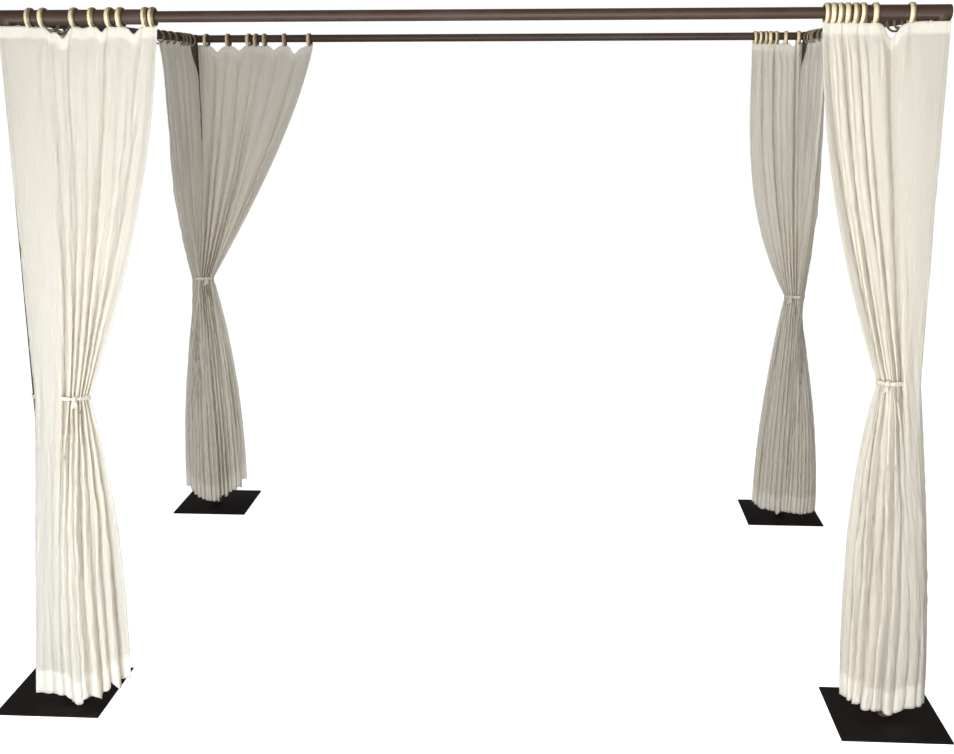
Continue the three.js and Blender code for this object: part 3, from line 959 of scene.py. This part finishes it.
def settleCurtains(sheets, settings):
    for name, sheet in sheets.items():
        piece = sheet["piece"]
        share = heldShare(name, curtains[name], sheet, settings)
        held = piece.vertex_groups.new(name="held")
        for weight in (settings["edgeHold"], 1.0):
            held.add([int(index) for index in np.nonzero(share == weight)[0]], weight, "REPLACE")
        piece.shape_key_add(name="drawn")
        flat = piece.shape_key_add(name="flat")
        flat.data.foreach_set("co", sheet["flat"].ravel())
        cloth = piece.modifiers.new("settling", "CLOTH")
        cloth.point_cache.frame_end = settings["frames"]
        cloth.collision_settings.use_collision = False
        for key, value in settings["feel"].items():
            setattr(cloth.settings, key, value)
        cloth.settings.vertex_group_mass = "held"
        cloth.settings.rest_shape_key = piece.data.shape_keys.key_blocks["flat"]
    for step in range(settings["frames"]):
        bpy.context.scene.frame_set(step + 1)
    settled = bpy.context.evaluated_depsgraph_get()
    for sheet in sheets.values():
        piece = sheet["piece"]
        spots = np.empty(sheet["flat"].size)
        piece.evaluated_get(settled).data.vertices.foreach_get("co", spots)
        piece.modifiers.clear()
        piece.shape_key_clear()
        piece.vertex_groups.clear()
        piece.data.vertices.foreach_set("co", spots)
        piece.data.update()
    bpy.context.scene.frame_set(1)


def thicken(piece, thick):
    layer = piece.modifiers.new("thickness", "SOLIDIFY")
    layer.thickness = thick
    layer.offset = 0
    return layer


def finishCurtain(name, sheet, settings):
    piece, cells = sheet["piece"], sheet["cells"]
    flatWidth, flatLength = sheet["size"]
    layers = piece.vertex_groups.new(name="layers")
    layers.add(range(len(cells)), 0.0, "REPLACE")
    across, down = sheet["flat"][:, 0], sheet["rows"][cells[:, 0]]
    sewn = (down < clothSettings["headBand"]) | (down > flatLength - clothSettings["hemBand"])
    sewn = sewn | (across < clothSettings["sideBand"]) | (across > flatWidth - clothSettings["sideBand"])
    layers.add([int(index) for index in np.nonzero(sewn)[0]], 1.0, "REPLACE")
    layer = thicken(piece, settings["thick"])
    layer.vertex_group = "layers"
    layer.thickness_vertex_group = settings["layers"]
    finishPiece(piece, curtainCloth, ["curtain_" + name], 180)
    "rings_" + name
    print(name, "sheet", round(flatWidth, 3), "x", round(flatLength, 3), "m")


sheets = {name: hangCurtain(name, curtain, sheetSettings) for name, curtain in curtains.items()}
print("curtains hung")
settleCurtains(sheets, settleSettings)
print("curtains settled")
for name, sheet in sheets.items():
    finishCurtain(name, sheet, sheetSettings)


# Rings: turned wood, one to each sewn point of the heading

ringSettings = {
    "middle": 0.0292, "thick": 0.0038, "width": 0.0095, "around": 44, "sides": 14, "turn": 9, "lean": 3,
    "tones": 0.2, "sideTone": 0.65, "sleevePlay": 0.5,
}


def addRings(name, curtain, settings):
    corner, run = splitName(name)
    rng = np.random.default_rng(curtain["seed"] + 200)
    low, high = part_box("rings_" + name)
    axisHeight = high.z - settings["middle"] - settings["thick"]
    # Rings have less play on the thick sleeve ends of the front pole
    loose = settings["sleevePlay"] if name in ("front_left_front", "front_right_front") else 1.0
    bm = bmesh.new()
    tone = bm.verts.layers.float.new("tone")
    for u in curtain["rings"]:
        before = set(bm.verts)
        circle = bmesh.ops.create_circle(bm, segments=settings["sides"], radius=1)["verts"]
        bmesh.ops.scale(bm, vec=(settings["thick"], settings["width"], 1), verts=circle)
        bmesh.ops.rotate(bm, matrix=Matrix.Rotation(math.pi / 2, 3, "X"), verts=circle)
        bmesh.ops.translate(bm, vec=(settings["middle"], 0, 0), verts=circle)
        edges = list({edge for vert in circle for edge in vert.link_edges})
        bmesh.ops.spin(bm, geom=circle + edges, axis=(0, 0, 1), cent=(0, 0, 0), angle=2 * math.pi,
                       steps=settings["around"], use_merge=True)
        fresh = [vert for vert in bm.verts if vert not in before]
        x, y = toWorld(corner, run, u, 0)
        turn = Matrix.Rotation(math.radians(rng.uniform(-1, 1) * settings["turn"] * loose), 4, "Z")
        lean = math.radians(rng.uniform(-1, 1) * settings["lean"] * loose)
        lean = Matrix.Rotation(lean, 4, "Y" if run == "across" else "X")
        upright = axisTurns["x" if run == "across" else "y"]
        place = Matrix.Translation((x, y, axisHeight)) @ turn @ lean @ upright
        bmesh.ops.transform(bm, matrix=place, verts=fresh)
        shade = float(rng.uniform(0.0, settings["tones"]))
        # Painted shade: every ring on a side pole is darkened by this amount
        shade = shade + (0.0 if run == "across" else settings["sideTone"])
        # Painted shade: on the front and back poles the side of each ring towards +x is darkened, as if lit
        # from the other side
        for vert in fresh:
            side = (vert.co.x - x) / settings["width"] if run == "across" else 0.0
            vert[tone] = min(1.0, shade + float(smoothstep(side, -0.1, 0.3)))
    bmesh.ops.recalc_face_normals(bm, faces=bm.faces)
    newPiece(pieceName("rings", name), bm, ringWood, ["rings_" + name], 60)


for name, curtain in curtains.items():
    addRings(name, curtain, ringSettings)
print("rings threaded")


# Ties: a strip of the curtain's own cloth drawn round the gathered folds and the post, and knotted

tieSettings = {
    "width": 0.014, "thick": 0.0020, "clear": 0.0034, "steps": 140, "rows": 8, "slope": 0.007,
    "postRadius": 0.024, "pleat": 0.0011, "pinch": 0.45, "knotCloth": 0.03,
    "knots": {
        "front_left": (0.152, 0.075), "front_right": (0.100, 0.060),
        "back_left": (0.030, -0.095), "back_right": (0.028, -0.095),
    },
    "tails": ((0.028, -0.45, 0.2), (0.022, 0.40, 1.4)),  # Length, lean and twist
    "loops": ((0.0080, 0.0046, 0.25, 0.0), (0.0062, 0.0040, -0.55, 0.003)),  # Radii, turn and shift
}


def hull(points):
    # The outline of a band drawn tight round the points
    ordered = sorted(map(tuple, points))

    def half(sequence):
        kept = []
        for p in sequence:
            while len(kept) > 1:
                (ax, ay), (bx, by) = kept[-2], kept[-1]
                if (bx - ax) * (p[1] - ay) - (by - ay) * (p[0] - ax) > 1e-9:
                    break
                kept.pop()
            kept.append(p)
        return kept[:-1]

    return np.array(half(ordered) + half(ordered[::-1]))


def bunchPoints(name, curtain):
    # The gathered part of a curtain at the tie
    corner, run = splitName(name)
    top, tie, bottom = heightsOf(name)
    plan = foldPlan(curtain, sheetSettings)
    line = fittedSection(curtain, plan, tie, tie, top, bottom, 191)[0]
    line = line[line[:, 0] > gatherStart(curtain, plan)]
    x, y = toWorld(corner, run, line[:, 0], line[:, 1])
    return np.stack([x, y], axis=1)


def tieLoop(corner, settings):
    axis = middle("post_" + corner)
    circle = np.linspace(0, 2 * math.pi, 24, endpoint=False)
    radius = settings["postRadius"]
    points = [np.stack([axis.x + radius * np.cos(circle), axis.y + radius * np.sin(circle)], axis=1)]
    points += [bunchPoints(name, curtain) for name, curtain in curtains.items() if name.startswith(corner)]
    outline = hull(np.vstack(points))
    loop, length = evenly(np.vstack([outline, outline[:1]]), settings["steps"] + 1)
    kernel = np.array([1, 2, 3, 2, 1]) / 9
    wrapped = np.vstack([loop[-3:-1], loop, loop[1:3]])
    soft = np.stack([np.convolve(wrapped[:, i], kernel, "valid") for i in range(2)], axis=1)
    along = np.gradient(soft, axis=0)
    along[0] = along[-1] = along[0] + along[-1]
    out = np.stack([along[:, 1], -along[:, 0]], axis=1)
    out = out / np.linalg.norm(out, axis=1)[:, None]
    loop = soft + out * settings["clear"]
    loop[-1] = loop[0]
    return loop, out, length


def addStrap(bm, loop, out, height, knot, settings):
    rows, steps = settings["rows"], settings["steps"]
    bmesh.ops.create_grid(bm, x_segments=steps, y_segments=rows, size=0.5, calc_uvs=True)
    for vert in bm.verts:
        i = round((vert.co.x + 0.5) * steps)
        across = vert.co.y
        apart = min(abs(i - knot), steps - abs(i - knot))
        pinch = 1 - settings["pinch"] * math.exp(-(apart / 5) ** 2)
        fold = settings["pleat"] * math.cos(across * math.pi * 5 + i * 0.06)
        x, y = loop[i] + out[i] * fold
        vert.co = (x, y, height[i] + across * settings["width"] * pinch)
    bmesh.ops.remove_doubles(bm, verts=bm.verts, dist=1e-5)


def addTail(bm, foot, side, away, shape, width):
    tail, lean, phase = shape
    before = set(bm.verts)
    bmesh.ops.create_grid(bm, x_segments=6, y_segments=16, size=0.5, calc_uvs=True)
    for vert in bm.verts:
        if vert in before:
            continue
        t = 0.5 - vert.co.y
        wide = width * (0.45 + 0.5 * min(1.0, t * 3))
        twist = 0.5 * math.sin(2.2 * t + phase)
        spot = foot + side * (lean * tail * t * (1 - 0.4 * t)) + away * (0.004 + 0.012 * t * (1 - 0.7 * t))
        spot = spot + (side * math.cos(twist) + away * math.sin(twist)) * (vert.co.x * wide)
        spot.z = spot.z - tail * t * (0.9 + 0.1 * t) + 0.002 * math.sin(vert.co.x * 7)
        vert.co = spot


def addKnot(corner, centre, side, away, settings):
    # Two rolled loops of the strip, one over the other
    bm = bmesh.new()
    around = np.linspace(0, 2 * math.pi, 13)[:-1]
    facingOut = Matrix((away.to_tuple(), (0, 0, 1), side.to_tuple())).transposed().to_4x4()
    for radius, tube, turn, shift in settings["loops"]:
        profile = [(radius + tube * math.cos(a), tube * 1.5 * math.sin(a)) for a in around]
        spot = Matrix.Translation(centre + side * shift)
        turned(bm, profile, spot @ facingOut @ Matrix.Rotation(turn, 4, "X"), 24)
    newPiece(pieceName("knot", corner), bm, tieCloth, [], 180)


def addTie(corner, settings):
    tie = middle("tie_" + corner).z + tieLift[corner]
    loop, out, length = tieLoop(corner, settings)
    depth = loop[:, 1] - loop[:, 1].mean()
    height = tie - depth / np.abs(depth).max() * settings["slope"]
    target = np.array(toWorld(corner, "across", *settings["knots"][corner]))
    knot = int(np.argmin(np.linalg.norm(loop - target, axis=1)))
    bm = bmesh.new()
    bm.loops.layers.uv.new("cloth")
    addStrap(bm, loop, out, height, knot, settings)
    foot = Vector((*(loop[knot] + out[knot] * 0.004), height[knot] - 0.004))
    side = Vector((-out[knot][1], out[knot][0], 0))
    away = Vector((out[knot][0], out[knot][1], 0))
    for shape in settings["tails"]:
        addTail(bm, foot, side, away, shape, settings["width"])
    piece = newPiece(pieceName("tie", corner), bm, tieCloth, ["tie_" + corner], 180)
    thicken(piece, settings["thick"])
    strip = length + sum(shape[0] for shape in settings["tails"]) + settings["knotCloth"]
    addKnot(corner, Vector((*loop[knot], height[knot])), side, away, settings)


for corner in corners:
    addTie(corner, tieSettings)
print("ties drawn round")


# Studio: a pale floor under a plain white dome, and soft lights

studioSettings = {
    "floorRadius": 30, "domeRadius": 31, "floorTone": 0.80, "floorGlow": 0.84, "domeGlow": 1.02,
    "above": (0.345, 0.328, 0.315), "below": (0.31, 0.325, 0.348),
    "lights": {
        "keyLeft": {"place": (-1.3, -3.9, 0.9), "aim": (-1.2, -1.0, 0.8), "size": (2.2, 2.4), "power": 142},
        "keyRight": {"place": (0.7, -3.9, 1.5), "aim": (1.2, -1.0, 1.3), "size": (2.0, 2.4), "power": 136},
        "backRight": {"place": (0.9, -0.2, 2.3), "aim": (1.4, 1.05, 1.9), "size": (0.7, 0.5), "power": 6},
        "coolLow": {"place": (-1.9, -3.2, 0.3), "aim": (-1.5, -0.6, 0.4), "size": (1.0, 0.5), "power": 20,
                    "colour": (0.50, 0.76, 1.0)},
        "skyStrip": {"place": (0, 0.3, 4.5), "aim": (0, 0.29, 0), "size": (5.5, 0.12), "power": 14},
    },
}


def glowMaterial(name, tone, glow):
    material, shade = newMaterial(name)
    speckle = noise(shade, objectPoint(shade, (1, 1, 1)), 3, 2.0)
    colour = speckle.tint(rgb((tone, tone, tone), 0.995), rgb((tone, tone, tone)))
    surface = shade.node("BsdfPrincipled", {}, {
        "Base Color": colour, "Roughness": 0.9, "Specular IOR Level": 0.1,
        "Emission Color": (1, 1, 1, 1), "Emission Strength": glow,
    })
    shade.node("OutputMaterial", {}, {"Surface": surface})
    return material


def addStage(name, bm, material):
    mesh = meshFrom(name, bm)
    mesh.materials.append(material)
    mesh.shade_smooth()
    made = linked(name, mesh)
    made.visible_diffuse = False
    made.visible_glossy = False
    made.visible_transmission = False


def addStudio(settings):
    bm = bmesh.new()
    bmesh.ops.create_circle(bm, cap_ends=True, segments=96, radius=settings["floorRadius"])
    addStage("floor", bm, glowMaterial("floorFinish", settings["floorTone"], settings["floorGlow"]))
    bm = bmesh.new()
    bmesh.ops.create_uvsphere(bm, u_segments=48, v_segments=24, radius=settings["domeRadius"])
    addStage("dome", bm, glowMaterial("domeFinish", 0.0, settings["domeGlow"]))
    world = bpy.data.worlds.new("studio")
    bpy.context.scene.world = world
    world.use_nodes = True
    world.node_tree.nodes.clear()
    shade = Shade(world.node_tree)
    height = shade.node("SeparateXYZ", {}, {0: shade.node("TexCoord")}, 2)
    sky = (height * 0.5 + 0.5).tint(rgb(settings["below"]), rgb(settings["above"]))
    background = shade.node("Background", {}, {"Color": sky, "Strength": 1.0})
    shade.node("OutputWorld", {}, {"Surface": background})
    for name, light in settings["lights"].items():
        data = bpy.data.lights.new(name, "AREA")
        data.shape = "RECTANGLE"
        data.size, data.size_y = light["size"]
        data.energy = light["power"]
        data.color = light.get("colour", (1, 1, 1))
        lamp = linked(name, data)
        lamp.location = light["place"]
        aim = Vector(light["aim"]) - Vector(light["place"])
        lamp.rotation_mode = "QUATERNION"
        lamp.rotation_quaternion = aim.to_track_quat("-Z", "Y")
        lamp.visible_camera = False
    bpy.context.scene.view_settings.view_transform = "Standard"


addStudio(studioSettings)
print("studio lit")
